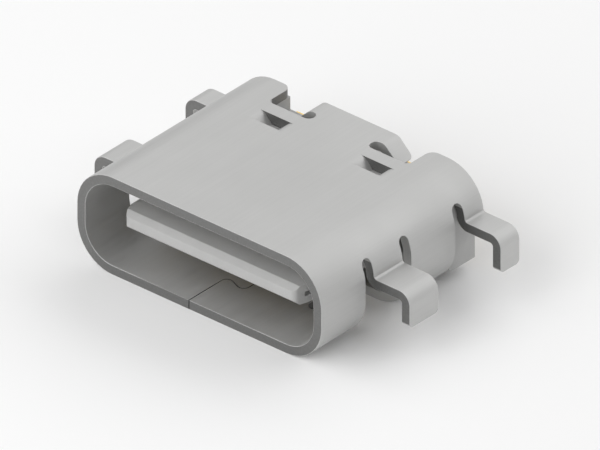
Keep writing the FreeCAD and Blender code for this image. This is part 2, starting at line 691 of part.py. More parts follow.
def contact_blade(body, row, place, tail):
    """The flat of a contact: straight along the tongue, then spread sideways towards its tail."""
    setback = "PowerSetback" if place in POWER_PLACES else "SignalSetback"
    front = f"(TongueSetback + {setback})"
    x = f"ContactPitch * {place}"
    spread = f"TailPitch * {tail}"
    half = "ContactWidth / 2"
    half_tail = "TailWidth / 2"
    fan_start = f"({NECK_FRONT} + FanLead)"
    fan_end = f"({fan_start} + FanLength)"
    outline = [
        (f"{x} - {half} + ContactTip", front),
        (f"{x} + {half} - ContactTip", front),
        (f"{x} + {half}", f"{front} + ContactTip"),
        (f"{x} + {half}", fan_start),
        (f"{spread} + {half_tail}", fan_end),
        (f"{spread} + {half_tail}", STEP_START),
        (f"{spread} - {half_tail}", STEP_START),
        (f"{spread} - {half_tail}", fan_end),
        (f"{x} - {half}", fan_start),
        (f"{x} - {half}", f"{front} + ContactTip"),
    ]
    inner_face = f"({CONTACT_FACE} - ContactThick)"
    start = inner_face if row > 0 else f"-{inner_face}"
    pad(body, "XY_Plane", outline, start, "ContactThick", row)


def contact_tail(body, row, tail):
    """The rear of a contact: a step up or down to the board plane, and the tail that is soldered."""
    face = CONTACT_FACE
    tail_top = "(BoardPlane + ContactThick)"
    drop = f"({face} - {tail_top})" if row > 0 else f"({face} + BoardPlane)"
    run = f"({drop} / {tangent('StepAngle')})"
    shift = f"ContactThick * {tangent('StepAngle / 2')}"
    sign = "" if row > 0 else "-"
    near = tail_top if row > 0 else "BoardPlane"
    far = "BoardPlane" if row > 0 else tail_top
    end = "ShellDepth + TailLength"
    outer_bend = "StepBend + ContactThick"
    outline = [
        (f"{STEP_START} - ContactThick", f"{sign}{face}"),
        (f"{STEP_START} + {shift}", f"{sign}{face}", outer_bend),
        (f"{STEP_START} + {shift} + {run}", near, "StepBend"),
        (end, near),
        (end, far),
        (f"{STEP_START} + {run}", far, outer_bend),
        (STEP_START, f"{sign}({face} - ContactThick)", "StepBend"),
        (f"{STEP_START} - ContactThick", f"{sign}({face} - ContactThick)"),
    ]
    pad(body, "YZ_Plane", outline, f"TailPitch * {tail} - TailWidth / 2", "TailWidth")


def make_contact(label, row, place, tail):
    body = new_body(label)
    contact_blade(body, row, place, tail)
    contact_tail(body, row, tail)
    return body


# Mouldings round their inserts

def moulded_round(label, blank, inserts):
    """The blank less everything that it is moulded round, so that the pieces meet face to face."""
    tools = inserts[0]
    if len(inserts) > 1:
        tools = doc.addObject("Part::MultiFuse", label + "_inserts")
        tools.Shapes = inserts
    cut = doc.addObject("Part::Cut", label)
    cut.Base = blank
    cut.Tool = tools
    cut.Label = label
    return cut


def make_parts():
    upper = [make_contact(*row) for row in CONTACTS if row[1] > 0]
    lower = [make_contact(*row) for row in CONTACTS if row[1] < 0]
    mid_plate = make_mid_plate()
    upper_blank = make_carrier_blank("upper_carrier_blank", 1)
    lower_blank = make_carrier_blank("lower_carrier_blank", -1)
    core_blank = make_core_blank()
    parts = [
        make_shell(),
        moulded_round("core", core_blank, upper + lower + [mid_plate, upper_blank, lower_blank]),
        moulded_round("upper_carrier", upper_blank, upper),
        moulded_round("lower_carrier", lower_blank, lower),
        mid_plate,
        make_ground_plate("upper_ground_plate", 1),
        make_ground_plate("lower_ground_plate", -1),
    ]
    doc.recompute()
    return parts + upper + lower


def check(parts):
    """Stops if any object failed or any sub-part isn't one sound solid."""
    for item in doc.Objects:
        if "Invalid" in item.State or "Error" in item.State:
            raise RuntimeError(f"{item.Label} failed: {item.State}")
    for item in parts:
        if item.Shape.isNull() or not item.Shape.isValid():
            raise RuntimeError(f"{item.Label} has no valid shape")
        if len(item.Shape.Solids) != 1:
            raise RuntimeError(f"{item.Label} has {len(item.Shape.Solids)} solids")


def write(parts):
    os.makedirs("parts", exist_ok=True)
    for item in parts:
        item.Shape.exportStep(f"parts/{item.Label}.step")
        box = item.Shape.BoundBox
        print(f"{item.Label:22s} volume {item.Shape.Volume:8.4f}  x {box.XMin:.3f} {box.XMax:.3f}"
              f"  y {box.YMin:.3f} {box.YMax:.3f}  z {box.ZMin:.3f} {box.ZMax:.3f}")


fill_sheet()
all_parts = make_parts()
check(all_parts)
write(all_parts)
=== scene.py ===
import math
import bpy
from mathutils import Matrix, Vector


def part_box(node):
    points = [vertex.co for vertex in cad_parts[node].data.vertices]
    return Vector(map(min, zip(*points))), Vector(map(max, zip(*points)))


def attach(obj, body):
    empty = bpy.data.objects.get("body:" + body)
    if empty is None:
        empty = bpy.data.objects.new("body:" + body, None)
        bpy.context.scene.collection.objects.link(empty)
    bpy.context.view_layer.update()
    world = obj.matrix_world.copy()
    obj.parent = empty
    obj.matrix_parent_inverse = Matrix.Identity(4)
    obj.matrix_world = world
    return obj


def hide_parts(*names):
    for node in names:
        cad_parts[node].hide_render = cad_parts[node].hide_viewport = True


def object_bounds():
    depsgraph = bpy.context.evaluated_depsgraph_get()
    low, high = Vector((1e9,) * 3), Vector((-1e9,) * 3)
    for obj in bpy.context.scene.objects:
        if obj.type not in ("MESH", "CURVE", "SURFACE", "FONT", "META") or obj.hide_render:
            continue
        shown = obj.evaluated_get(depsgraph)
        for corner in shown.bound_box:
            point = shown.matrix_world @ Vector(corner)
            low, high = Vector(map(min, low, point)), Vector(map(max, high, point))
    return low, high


bl_info = {
    "name": "Board socket",
    "version": (1, 0, 0),
    "blender": (4, 5, 0),
    "location": "View3D > Sidebar > Socket",
    "description": "Dresses a sunk board socket: its stamped shell, mouldings, plates and plated contacts",
    "category": "Object",
}

import bmesh
import bpy
from bpy.props import FloatProperty, PointerProperty, StringProperty
from mathutils import Vector

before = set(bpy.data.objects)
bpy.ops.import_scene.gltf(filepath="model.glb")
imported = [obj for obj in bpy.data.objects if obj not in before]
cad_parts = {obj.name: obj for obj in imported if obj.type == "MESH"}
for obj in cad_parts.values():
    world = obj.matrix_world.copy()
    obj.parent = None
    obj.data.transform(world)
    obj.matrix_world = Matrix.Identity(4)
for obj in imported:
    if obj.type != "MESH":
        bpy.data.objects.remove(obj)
cad_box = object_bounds()

MM = 0.001

# Two faces that meet at more than the sharp angle have an edge between them, and at less than the flat
# angle they are one face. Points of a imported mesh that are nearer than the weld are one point.
SHARP_ANGLE = math.radians(38)
FLAT_ANGLE = math.radians(0.5)
SHELL_WELD = 0.012 * MM
FINE_WELD = 0.001 * MM

# The row of the contact (1 is the upper one), its place on the tongue and its tail's place, in pitches.
CONTACTS = {
    "contact_a1_ground": (1, -5.5, -7.5),
    "contact_a4_power": (1, -2.5, -5.5),
    "contact_a5_sense": (1, -1.5, -2.5),
    "contact_a6_data": (1, -0.5, -0.5),
    "contact_a7_data": (1, 0.5, 0.5),
    "contact_a8_spare": (1, 1.5, 2.5),
    "contact_a9_power": (1, 2.5, 5.5),
    "contact_a12_ground": (1, 5.5, 7.5),
    "contact_b12_ground": (-1, -5.5, -6.5),
    "contact_b9_power": (-1, -2.5, -4.5),
    "contact_b8_spare": (-1, -1.5, -3.5),
    "contact_b7_data": (-1, -0.5, -1.5),
    "contact_b6_data": (-1, 0.5, 1.5),
    "contact_b5_sense": (-1, 1.5, 3.5),
    "contact_b4_power": (-1, 2.5, 4.5),
    "contact_b1_ground": (-1, 5.5, 6.5),
}
CONTACT_ROWS = 160

# Where along Y the strips fan out to their tails' places, and where they step to the tails' height.
FAN_START, FAN_END = 4.25 * MM, 5.35 * MM
STEP_START, STEP_END = 5.72 * MM, 6.15 * MM

# The shell's round sides: the arcs' middle, from the socket's middle, the outer and inner radius, how far
# a point may lie from an arc or past its ends, and how nearly its face has to look along the radius.
ROUND_SIDE_X = 3.17 * MM
ROUND_SIDE_Z = 0.28 * MM
ROUND_SIDE_RADII = (1.3 * MM, 1.0 * MM)
ROUND_SIDE_SLACK = 0.02 * MM
ROUND_SIDE_OVERRUN = 0.01 * MM
ROUND_SIDE_FACING = 0.9

# How much of a face's normal is along an axis that the face looks along, and at most along one that it
# is level with.
FACING = 0.95
LEVEL = 0.05

# The height past which the shell is flat sheet, just inside its top and bottom.
FLAT_SHEET = 1.27 * MM

# Regions of the shell on both sides, each as the ranges of the distance from the middle, Y and Z, in
# millimetres.
FAR = 100
SHELL_REGIONS = {
    "seam": ((0, 0.75), (-FAR, FAR), (-FAR, -1.2)),
    "bridges": ((1.0, 2.7), (4.85, 5.46), (0.9, FAR)),
    "reliefs": ((0, 2.7), (5.8, 6.3), (0.9, FAR)),
    "slots": ((3.5, 4.5), (1.0, 6.3), (-FAR, FAR)),
    "leg_tips": ((5, FAR), (-FAR, FAR), (-FAR, -0.6)),
}

# The steel strip: its roughness on the shell and on the plates, how far that varies with the clouds and
# with the rolling marks, its tone as a share of its colour, the clouds to the millimetre, a mark's length
# in widths, and its depth.
SHELL_ROUGHNESS = 0.64
PLATE_ROUGHNESS = 0.36
CLOUD_ROUGHNESS = 0.05
MARK_ROUGHNESS = 0.04
STRIP_TONE = (0.96, 1.03)
STRIP_CLOUDS = 0.35
MARK_LENGTH = 40
MARK_DEPTH = 0.003 * MM

# Its sheared edges: roughness, tone, crystals to the millimetre and depth.
CUT_ROUGHNESS = 0.55
CUT_TONE = (0.88, 1.08)
CUT_CRYSTALS = 14
CUT_DEPTH = 0.004 * MM

# The mouldings: the roughness and tone from least to most, the flow clouds to the millimetre, the depth
# of the pebbles, and the polymer's IOR.
PLASTIC_ROUGHNESS = (0.48, 0.62)
PLASTIC_TONE = (0.96, 1.04)
PLASTIC_FLOW = 1.2
PLASTIC_DEPTH = 0.006 * MM
PLASTIC_IOR = 1.6

# The gold: its roughness from least to most, its drawing marks along X, Y and Z, and their depth.
GOLD_ROUGHNESS = (0.28, 0.42)
GOLD_MARKS = (30 / MM, 1 / MM, 30 / MM)
GOLD_DEPTH = 0.003 * MM

# Soft boxes round the object: direction from its middle, distance, width, height and brightness.
LAMPS = {
    "back_softbox": ((0.15, 0.8, 0.62), 170 * MM, 380 * MM, 110 * MM, 1.3),
    "front_softbox": ((-0.1, -0.8, 0.5), 160 * MM, 150 * MM, 110 * MM, 2.4),
    "left_softbox": ((-0.85, -0.4, 0.9), 160 * MM, 140 * MM, 140 * MM, 1.1),
}
WORLD_COLOUR = "#FFFFFF"
WORLD_STRENGTH = 0.42
FLOOR_HALF = 400 * MM
FLOOR_ROUGHNESS = 0.9

# The point in the middle of the view, how far the camera is from it, and what the camera sees.
VIEW_MIDDLE = (0.711 * MM, 3.436 * MM, 0)
VIEW_DISTANCE = 80 * MM
VIEW_NEAR, VIEW_FAR = 1 * MM, 1000 * MM


# Settings that a user would change

class ShellSettings(bpy.types.PropertyGroup):
    """The shell and the plates"""
    edge: FloatProperty(
        name="Edge radius", description="Roundness that the press leaves on the sheet's edges",
        default=0.015 * MM, precision=6, unit="LENGTH")
    grain: FloatProperty(
        name="Grain width", description="Spacing of the rolling marks on the sheet",
        default=0.07 * MM, precision=6, unit="LENGTH")
    steel: StringProperty(
        name="Steel", description="Colour of the plated strip, as sRGB hex", default="#CECECD")
    # The cut edges' grey is darker than the steel's, partly as painted shade on the faces that look to the
    # front or back.
    cut_edge_shade: StringProperty(
        name="Cut edge", description="Colour of the sheared edges, as sRGB hex", default="#858584")


class MouldingSettings(bpy.types.PropertyGroup):
    """The core and the two carriers"""
    edge: FloatProperty(
        name="Edge radius", description="Roundness of the moulded edges",
        default=0.018 * MM, precision=6, unit="LENGTH")
    grain: FloatProperty(
        name="Grain size", description="Size of the mould's spark-eroded texture",
        default=0.06 * MM, precision=6, unit="LENGTH")
    core: StringProperty(
        name="Core", description="Colour of the outer moulding, as sRGB hex", default="#B6B6B5")
    carrier: StringProperty(
        name="Carriers", description="Colour of the two inner mouldings, as sRGB hex", default="#B6B6B5")


class ContactSettings(bpy.types.PropertyGroup):
    """The sixteen contacts"""
    width: FloatProperty(
        name="Width", description="Width of a contact on the tongue",
        default=0.25 * MM, precision=6, unit="LENGTH")
    tail_width: FloatProperty(
        name="Tail width", description="Width of a soldered tail",
        default=0.28 * MM, precision=6, unit="LENGTH")
    thickness: FloatProperty(
        name="Thickness", description="Thickness of the contacts' strip",
        default=0.15 * MM, precision=6, unit="LENGTH")
    pitch: FloatProperty(
        name="Pitch", description="Spacing of the places on the tongue",
        default=0.50 * MM, precision=6, unit="LENGTH")
    tail_pitch: FloatProperty(
        name="Tail pitch", description="Spacing of the tails behind the shell",
        default=0.40 * MM, precision=6, unit="LENGTH")
    tip: FloatProperty(
        name="Tip bevel", description="Bevel on a contact's front corners",
        default=0.07 * MM, precision=6, unit="LENGTH")
    edge: FloatProperty(
        name="Edge radius", description="Roundness that the press leaves on the strip's edges",
        default=0.014 * MM, precision=6, unit="LENGTH")
    gold: StringProperty(
        name="Gold", description="Colour of the plating, as sRGB hex", default="#E6C574")


class StageSettings(bpy.types.PropertyGroup):
    """The floor and the camera"""
    azimuth: FloatProperty(
        name="Azimuth", description="Turn of the view from the socket's front towards its right",
        default=math.radians(40.83), subtype="ANGLE", unit="ROTATION")
    elevation: FloatProperty(
        name="Elevation", description="Height of the view above the board's plane",
        default=math.radians(31.53), subtype="ANGLE", unit="ROTATION")
    view_width: FloatProperty(
        name="View width", description="Width of what the camera shows",
        default=16.598 * MM, precision=6, unit="LENGTH")
    floor: StringProperty(
        name="Floor", description="Colour of the floor, as sRGB hex", default="#FBFBFB")


# Helpers

def linear(hex_colour):
    """The linear colour, with alpha, of an sRGB hex value."""
    channels = [int(hex_colour[i:i + 2], 16) / 255 for i in (1, 3, 5)]
    return tuple(c / 12.92 if c <= 0.04045 else ((c + 0.055) / 1.055) ** 2.4 for c in channels) + (1.0,)


def set_inputs(tree, node, inputs):
    """Gives a node's inputs their plain values, or links them to other sockets."""
    for name, content in inputs.items():
        if isinstance(content, bpy.types.NodeSocket):
            tree.links.new(content, node.inputs[name])
        else:
            node.inputs[name].default_value = content


def add_node(tree, kind, settings=None, inputs=None):
    """Adds a node. Settings are its own properties, and inputs are plain values or other sockets."""
    node = tree.nodes.new(kind)
    for name, content in (settings or {}).items():
        setattr(node, name, content)
    set_inputs(tree, node, inputs or {})
    return node


def new_object(name, data):
    """An object in the scene for a mesh, lamp or camera."""
    piece = bpy.data.objects.new(name, data)
    bpy.context.scene.collection.objects.link(piece)
    return piece


def finished(piece):
    """Turns what the modifiers make of the piece into its plain mesh."""
    bpy.context.view_layer.update()
    evaluated = piece.evaluated_get(bpy.context.evaluated_depsgraph_get())
    mesh = bpy.data.meshes.new_from_object(evaluated)
    mesh.name = piece.name
    piece.modifiers.clear()
    piece.data = mesh


def weigh_edges(form, spared):
    """Gives each sharp edge a bevel weight, except those that the given test spares."""
    weights = form.edges.layers.float.new("bevel_weight_edge")
    for edge in form.edges:
        if len(edge.link_faces) == 2 and edge.calc_face_angle() > SHARP_ANGLE and not spared(edge):
            edge[weights] = 1.0


def clean_copy(node, name, weld, spared=lambda edge: False):
    """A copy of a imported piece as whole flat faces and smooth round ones, ready for its edges."""
    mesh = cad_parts[node].data.copy()
    mesh.name = name
    mesh.materials.clear()
    form = bmesh.new()
    form.from_mesh(mesh)
    bmesh.ops.remove_doubles(form, verts=form.verts, dist=weld)
    bmesh.ops.dissolve_limit(form, angle_limit=FLAT_ANGLE, verts=form.verts, edges=form.edges)
    form.normal_update()
    weigh_edges(form, spared)
    form.to_mesh(mesh)
    form.free()
    return new_object(name, mesh)


def round_edges(piece, radius, true_normal=lambda place, normal: normal):
    """Adds a small round to every edge with a bevel weight, in a material slot of its own for as long as
    the shading is set, and then in the first material."""
    slot = len(piece.data.materials)
    piece.data.materials.append(piece.data.materials[0])
    bevel = piece.modifiers.new("edge", "BEVEL")
    bevel.width = radius
    bevel.segments = 2
    bevel.limit_method = "WEIGHT"
    bevel.material = slot
    bevel.use_clamp_overlap = False
    bevel.miter_outer = "MITER_ARC"
    finished(piece)
    set_normals(piece.data, slot, true_normal)
    for face in piece.data.polygons:
        if face.material_index == slot:
            face.material_index = 0
    piece.data.materials.pop(index=slot)


def set_normals(mesh, slot, true_normal):
    """Keeps the flat faces flat and the round ones round in the shading, and lets the edge rounds, which
    hold the given material slot, run between them."""
    around = [[] for _ in mesh.vertices]
    for face in mesh.polygons:
        for corner in face.loop_indices:
            around[mesh.loops[corner].vertex_index].append(face.index)
    normals = [face.normal.copy() for face in mesh.polygons]
    weights = [(face.area / MM ** 2) ** 2 for face in mesh.polygons]
    main = [face.material_index != slot for face in mesh.polygons]
    corners = [None] * len(mesh.loops)
    for face in mesh.polygons:
        for corner in face.loop_indices:
            vertex = mesh.loops[corner].vertex_index
            whole = [i for i in around[vertex] if main[i]]
            if main[face.index]:
                near = [i for i in whole if normals[i].dot(normals[face.index]) > math.cos(SHARP_ANGLE)]
            else:
                near = whole or around[vertex]
            total = Vector((0, 0, 0))
            for i in near:
                total += true_normal(mesh.vertices[vertex].co, normals[i]) * weights[i]
            corners[corner] = total.normalized()
        face.use_smooth = True
    mesh.normals_split_custom_set(corners)


def hand_over(piece, nodes):
    """Lets the finished piece stand for its solids, on the part's only body."""
    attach(piece, "root")
    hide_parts(*nodes)


# Materials

def new_material(name):
    """A material, the tree to add its nodes to, and its principled shader."""
    material = bpy.data.materials.new(name)
    material.use_nodes = True
    tree = material.node_tree
    return material, tree, tree.nodes["Principled BSDF"]


def from_noise(low, high):
    """Inputs that spread what a noise gives, mostly 0.3 to 0.7, between two values."""
    return {"From Min": 0.3, "From Max": 0.7, "To Min": low, "To Max": high}


def plated_strip(name, colour, grain, roughness):
    """Cold-rolled stainless strip under satin nickel: a grey metal whose fine rolling marks run along Y
    and spread each highlight across them. Real marks are a few microns wide, and are drawn as coarse as
    they need to show."""
    material, tree, shader = new_material(name)
    place = add_node(tree, "ShaderNodeTexCoord")
    stretch = add_node(tree, "ShaderNodeMapping", inputs={
        "Vector": place.outputs["Object"],
        "Scale": (1 / grain, 1 / (MARK_LENGTH * grain), 1 / grain)})
    marks = add_node(tree, "ShaderNodeTexNoise", inputs={
        "Vector": stretch.outputs["Vector"], "Scale": 1.0, "Detail": 4.0, "Roughness": 0.6})
    clouds = add_node(tree, "ShaderNodeTexNoise", inputs={
        "Vector": place.outputs["Object"], "Scale": STRIP_CLOUDS / MM, "Detail": 2.0})
    dull = add_node(tree, "ShaderNodeMapRange", inputs={
        "Value": clouds.outputs["Fac"],
        **from_noise(roughness - CLOUD_ROUGHNESS, roughness + CLOUD_ROUGHNESS)})
    streak = add_node(tree, "ShaderNodeMapRange", inputs={
        "Value": marks.outputs["Fac"], **from_noise(-MARK_ROUGHNESS, MARK_ROUGHNESS)})
    rough = add_node(tree, "ShaderNodeMath", {"operation": "ADD"}, {
        0: dull.outputs["Result"], 1: streak.outputs["Result"]})
    tone = add_node(tree, "ShaderNodeMapRange", inputs={
        "Value": marks.outputs["Fac"], **from_noise(*STRIP_TONE)})
    shade = add_node(tree, "ShaderNodeVectorMath", {"operation": "SCALE"}, {
        0: linear(colour)[:3], "Scale": tone.outputs["Result"]})
    bump = add_node(tree, "ShaderNodeBump", inputs={
        "Height": marks.outputs["Fac"], "Strength": 0.35, "Distance": MARK_DEPTH})
    set_inputs(tree, shader, {
        "Base Color": shade.outputs["Vector"], "Roughness": rough.outputs["Value"],
        "Normal": bump.outputs["Normal"], "Metallic": 1.0})
    return material


def sheared_edge_and_shade(name, colour):
    """The torn edge that a press tool leaves on steel strip: duller than the rolled face, with a
    crystalline grain, drawn a few times coarser than real so that it shows. Its colour is darker than the
    rolled face's. Part of that darkness is the cut's own dullness, and part is painted shade on the faces
    that take it, most of which look to the front or back."""
    material, tree, shader = new_material(name)
    place = add_node(tree, "ShaderNodeTexCoord")
    grain = add_node(tree, "ShaderNodeTexNoise", inputs={
        "Vector": place.outputs["Object"], "Scale": CUT_CRYSTALS / MM, "Detail": 5.0, "Roughness": 0.7})
    tone = add_node(tree, "ShaderNodeMapRange", inputs={
        "Value": grain.outputs["Fac"], **from_noise(*CUT_TONE)})
    shade = add_node(tree, "ShaderNodeVectorMath", {"operation": "SCALE"}, {
        0: linear(colour)[:3], "Scale": tone.outputs["Result"]})
    bump = add_node(tree, "ShaderNodeBump", inputs={
        "Height": grain.outputs["Fac"], "Strength": 0.5, "Distance": CUT_DEPTH})
    set_inputs(tree, shader, {
        "Base Color": shade.outputs["Vector"], "Roughness": CUT_ROUGHNESS,
        "Normal": bump.outputs["Normal"], "Metallic": 1.0})
    return material


def moulded_plastic(name, colour, grain):
    """Glass-filled liquid-crystal polymer from a spark-eroded mould: an even matt grey with faint flow
    clouds and a fine pebbled skin, drawn two or three times coarser than real so that it shows."""
    material, tree, shader = new_material(name)
    place = add_node(tree, "ShaderNodeTexCoord")
    pebbles = add_node(tree, "ShaderNodeTexVoronoi", {"feature": "SMOOTH_F1"}, {
        "Vector": place.outputs["Object"], "Scale": 1 / grain, "Smoothness": 0.6})
    flow = add_node(tree, "ShaderNodeTexNoise", inputs={
        "Vector": place.outputs["Object"], "Scale": PLASTIC_FLOW / MM, "Detail": 5.0, "Distortion": 1.0})
    tone = add_node(tree, "ShaderNodeMapRange", inputs={
        "Value": flow.outputs["Fac"], **from_noise(*PLASTIC_TONE)})
    shade = add_node(tree, "ShaderNodeVectorMath", {"operation": "SCALE"}, {
        0: linear(colour)[:3], "Scale": tone.outputs["Result"]})
    rough = add_node(tree, "ShaderNodeMapRange", inputs={
        "Value": pebbles.outputs["Distance"], "From Min": 0.0, "From Max": 0.8,
        "To Min": PLASTIC_ROUGHNESS[0], "To Max": PLASTIC_ROUGHNESS[1]})
    bump = add_node(tree, "ShaderNodeBump", inputs={
        "Height": pebbles.outputs["Distance"], "Strength": 0.3, "Distance": PLASTIC_DEPTH})
    set_inputs(tree, shader, {
        "Base Color": shade.outputs["Vector"], "Roughness": rough.outputs["Result"],
        "Normal": bump.outputs["Normal"], "IOR": PLASTIC_IOR})
    return material


def gold_plating(name, colour):
    """Hard gold over nickel on copper alloy: a warm, bright metal with faint drawing marks along the
    strip, which are microns wide and are drawn as coarse as they need to show."""
    material, tree, shader = new_material(name)
    place = add_node(tree, "ShaderNodeTexCoord")
    stretch = add_node(tree, "ShaderNodeMapping", inputs={
        "Vector": place.outputs["Object"], "Scale": GOLD_MARKS})
    marks = add_node(tree, "ShaderNodeTexNoise", inputs={
        "Vector": stretch.outputs["Vector"], "Scale": 1.0, "Detail": 3.0})
    rough = add_node(tree, "ShaderNodeMapRange", inputs={
        "Value": marks.outputs["Fac"], **from_noise(*GOLD_ROUGHNESS)})
    bump = add_node(tree, "ShaderNodeBump", inputs={
        "Height": marks.outputs["Fac"], "Strength": 0.2, "Distance": GOLD_DEPTH})
    set_inputs(tree, shader, {
        "Base Color": linear(colour), "Roughness": rough.outputs["Result"],
        "Normal": bump.outputs["Normal"], "Metallic": 1.0})
    return material


# The contacts' tree

CONTACT_INPUTS = (
    "Front", "End", "Width", "Tail Width", "Thickness", "Tip", "Place", "Tail Place",
    "Fan Start", "Fan End", "Step Start", "Step End", "Blade Height", "Tail Height",
)


def contact_tree(material):
    """One strip of metal as a block with many rows along Y. Each row is moved sideways by the fan,
    down or up by the step, and narrowed at the tip."""
    tree = bpy.data.node_groups.new("contact_strip", "GeometryNodeTree")
    for name in CONTACT_INPUTS:
        tree.interface.new_socket(name=name, in_out="INPUT", socket_type="NodeSocketFloat")
    tree.interface.new_socket(name="Geometry", in_out="OUTPUT", socket_type="NodeSocketGeometry")
    given = tree.nodes.new("NodeGroupInput").outputs
    block = add_node(tree, "GeometryNodeMeshCube", inputs={
        "Size": (1, 1, 1), "Vertices X": 2, "Vertices Y": CONTACT_ROWS, "Vertices Z": 2})
    here = add_node(tree, "ShaderNodeSeparateXYZ", inputs={
        "Vector": add_node(tree, "GeometryNodeInputPosition").outputs["Position"]})

    def ramp(value, low, high, start, end, kind="LINEAR"):
        inputs = {"Value": value, "From Min": low, "From Max": high, "To Min": start, "To Max": end}
        node = add_node(tree, "ShaderNodeMapRange", {"interpolation_type": kind, "clamp": True}, inputs)
        return node.outputs["Result"]

    def calculate(operation, first, second):
        return add_node(tree, "ShaderNodeMath", {"operation": operation}, {0: first, 1: second}).outputs[0]

    along = ramp(here.outputs["Y"], -0.5, 0.5, given["Front"], given["End"])
    centre = ramp(along, given["Fan Start"], given["Fan End"], given["Place"], given["Tail Place"])
    full = ramp(along, given["Fan Start"], given["Fan End"], given["Width"], given["Tail Width"])
    height = ramp(along, given["Step Start"], given["Step End"], given["Blade Height"],
                  given["Tail Height"], "SMOOTHSTEP")
    tip_end = calculate("ADD", given["Front"], given["Tip"])
    tip_loss = calculate("MULTIPLY", given["Tip"], 2.0)
    loss = ramp(along, given["Front"], tip_end, tip_loss, 0.0)
    width = calculate("SUBTRACT", full, loss)
    x = calculate("ADD", centre, calculate("MULTIPLY", here.outputs["X"], width))
    z = calculate("ADD", height, calculate("MULTIPLY", here.outputs["Z"], given["Thickness"]))
    moved = add_node(tree, "GeometryNodeSetPosition", inputs={
        "Geometry": block.outputs["Mesh"],
        "Position": add_node(tree, "ShaderNodeCombineXYZ", inputs={"X": x, "Y": along, "Z": z}).outputs[0]})
    real = add_node(tree, "GeometryNodeRealizeInstances", inputs={"Geometry": moved.outputs["Geometry"]})
    dressed = add_node(tree, "GeometryNodeSetMaterial", inputs={
        "Geometry": real.outputs["Geometry"], "Material": material})
    out = tree.nodes.new("NodeGroupOutput")
    tree.links.new(dressed.outputs["Geometry"], out.inputs["Geometry"])
    return tree


# Operators

class SOCKET_OT_dress_shell(bpy.types.Operator):
    """Dresses the folded shell in plated steel, with its sheared edges rounded, dull and darker, the
    darkness partly painted shade
    """
    bl_idname = "socket.dress_shell"
    bl_label = "Dress the shell"

    def execute(self, context):
        settings = context.scene.socket_shell
        shell = clean_copy("shell", "stamped_shell", SHELL_WELD, self.is_crisp)
        plated = plated_strip("satin_nickel_on_steel", settings.steel, settings.grain, SHELL_ROUGHNESS)
        # The cut-edge material's darker grey is partly painted shade, and the faces picked below take it.
        sheared_and_shaded = sheared_edge_and_shade("sheared_steel_edge_and_painted_shade", settings.cut_edge_shade)
        for material in (plated, sheared_and_shaded):
            shell.data.materials.append(material)
        for face in shell.data.polygons:
            face.material_index = 1 if self.takes_cut_edge_shade(face.center, face.normal) else 0
        round_edges(shell, settings.edge, self.round_side_normal)
        hand_over(shell, ["shell"])
        return {"FINISHED"}

    def lies_in(self, region, place):
        """Whether a place on the shell is in the named region."""
        numbers = (abs(place.x) / MM, place.y / MM, place.z / MM)
        return all(low <= n <= high for n, (low, high) in zip(numbers, SHELL_REGIONS[region]))

    def is_crisp(self, edge):
        """Whether an edge stays crisp: one in the dovetailed seam, where the sheet's ends meet in a
        hairline, or round a pressed bridge, where it is sheared from the top."""
        middle = (edge.verts[0].co + edge.verts[1].co) / 2
        return self.lies_in("seam", middle) or self.lies_in("bridges", middle)

    def takes_cut_edge_shade(self, middle, normal):
        """Whether a face, given by its middle and normal, is a cut through the sheet and takes the darker
        cut-edge grey, which is partly painted shade. The walls of the slots and of the notches' reliefs
        keep the rolled steel's colour."""
        # Slot and relief walls keep the steel's colour. The other cut faces take the darker grey, which is
        # partly painted shade.
        keeps_steel_colour = self.lies_in("reliefs", middle) or self.lies_in("slots", middle)
        across = abs(normal.y) > FACING
        through_flat = abs(normal.z) < LEVEL and abs(middle.z) > FLAT_SHEET
        leg_tip = normal.z < -FACING and self.lies_in("leg_tips", middle)
        return (across or through_flat or leg_tip) and not keeps_steel_colour

    def round_side_normal(self, place, normal):
        """The true normal on the two round sides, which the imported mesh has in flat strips."""
        x = abs(place.x) - ROUND_SIDE_X
        z = abs(place.z) - ROUND_SIDE_Z
        distance = math.hypot(x, z)
        near = min(abs(distance - radius) for radius in ROUND_SIDE_RADII)
        radial = Vector((math.copysign(x, place.x), 0, math.copysign(z, place.z))).normalized()
        on_arc = min(x, z) >= -ROUND_SIDE_OVERRUN and near <= ROUND_SIDE_SLACK
        if not on_arc or abs(radial.dot(normal)) < ROUND_SIDE_FACING:
            return normal
        return radial if radial.dot(normal) > 0 else -radial


class SOCKET_OT_dress_mouldings(bpy.types.Operator):
    """Dresses the core and the two carriers in matt moulded plastic"""
    bl_idname = "socket.dress_mouldings"
    bl_label = "Dress the mouldings"

    def execute(self, context):
        settings = context.scene.socket_mouldings
        outer = moulded_plastic("grey_polymer", settings.core, settings.grain)
        inner = moulded_plastic("inner_grey_polymer", settings.carrier, settings.grain)
        rows = (
            ("core", "moulded_core", outer, "core_plastic"),
            ("upper_carrier", "moulded_upper_carrier", inner, "carrier_plastic"),
            ("lower_carrier", "moulded_lower_carrier", inner, "carrier_plastic"),
        )
        for node, name, material, slot in rows:
            piece = clean_copy(node, name, FINE_WELD)
            piece.data.materials.append(material)
            round_edges(piece, settings.edge)
            hand_over(piece, [node])
        return {"FINISHED"}


class SOCKET_OT_dress_plates(bpy.types.Operator):
    """Dresses the steel plate in the tongue and the two ground plates"""
    bl_idname = "socket.dress_plates"
    bl_label = "Dress the plates"

    def execute(self, context):
        settings = context.scene.socket_shell
        steel = plated_strip("bare_stainless", settings.steel, settings.grain, PLATE_ROUGHNESS)
        for node in ("mid_plate", "upper_ground_plate", "lower_ground_plate"):
            piece = clean_copy(node, "stamped_" + node, FINE_WELD)
            piece.data.materials.append(steel)
            round_edges(piece, settings.edge / 2)
            hand_over(piece, [node])
        return {"FINISHED"}


